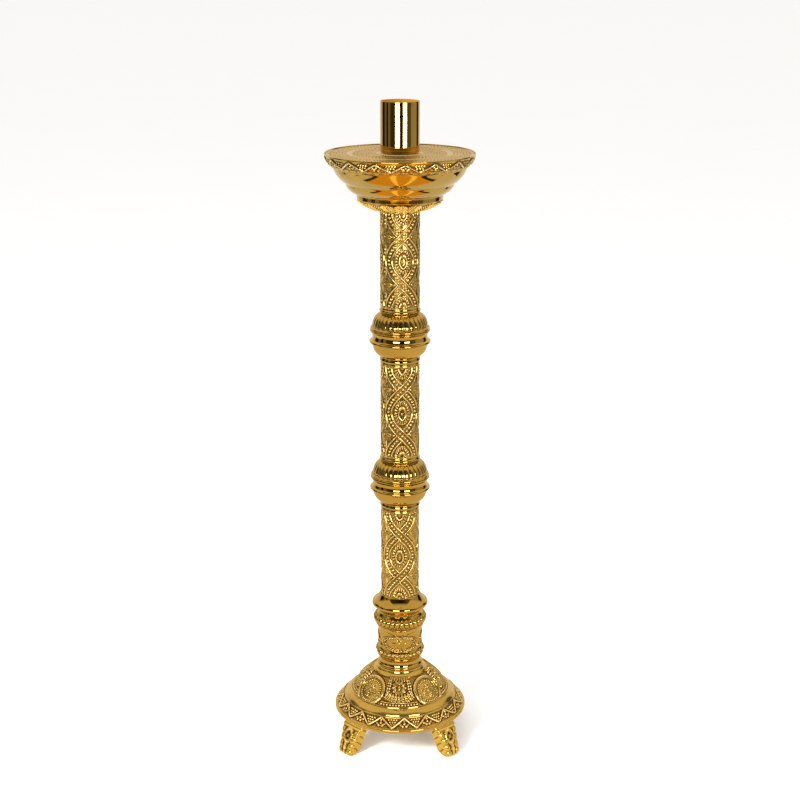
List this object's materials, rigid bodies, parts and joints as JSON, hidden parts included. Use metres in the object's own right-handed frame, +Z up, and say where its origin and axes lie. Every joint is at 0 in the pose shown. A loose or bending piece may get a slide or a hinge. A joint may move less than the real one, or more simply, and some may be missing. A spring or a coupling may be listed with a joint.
{
  "type": "altar candlestick",
  "caption": "Tall single-light altar candlestick in gilt brass: footed domed base, knopped relief stem, drip pan and screw-off candle socket on a tie rod.",
  "frame": {"origin": "on the ground, on the axis of the stem, under the middle of the base", "axes": "+Z up along the stem, -Y to the front, +X to the right seen from the front; the feet stand on the four diagonals"},
  "size_m": [0.1544, 0.1544, 0.7],
  "materials": {
    "gilt_brass": "polished gold plate over cast and spun brass",
    "plain_brass": "turned brass, unplated",
    "steel": "zinc-plated steel"
  },
  "bodies": {
    "stand": {"foot_front_right": "gilt_brass", "foot_front_left": "gilt_brass", "foot_rear_left": "gilt_brass", "foot_rear_right": "gilt_brass", "foot_washers": "steel", "foot_nuts": "steel", "base_shell": "gilt_brass", "base_washer": "steel", "base_nut": "steel", "tie_rod": "steel", "base_neck": "gilt_brass", "lower_knop": "gilt_brass", "stem_cup": "gilt_brass", "lower_tube": "gilt_brass", "lower_knop_bowl": "gilt_brass", "lower_knop_dome": "gilt_brass", "middle_tube": "gilt_brass", "upper_knop_bowl": "gilt_brass", "upper_knop_dome": "gilt_brass", "upper_tube": "gilt_brass", "calyx": "gilt_brass", "pan_bowl": "gilt_brass", "pan_spacer": "plain_brass", "pan_plate": "gilt_brass"},
    "thread_carrier": {"socket_washer": "steel"},
    "socket": {"socket_hub": "plain_brass", "socket_tube": "gilt_brass"}
  },
  "joints": [
    {"name": "socket_rise", "type": "slide", "parent": "stand", "child": "thread_carrier", "axis": [0, 0, 1], "range_m": [0, 0.009]},
    {"name": "socket_turn", "type": "hinge", "parent": "thread_carrier", "child": "socket", "pos_m": [0, 0, 0.6487], "axis": [0, 0, 1], "range_deg": [0, 2160]}
  ],
  "couplings": [
    {"joint": "socket_rise", "follows": "socket_turn", "m_per_rad": 0.0002387}
  ]
}
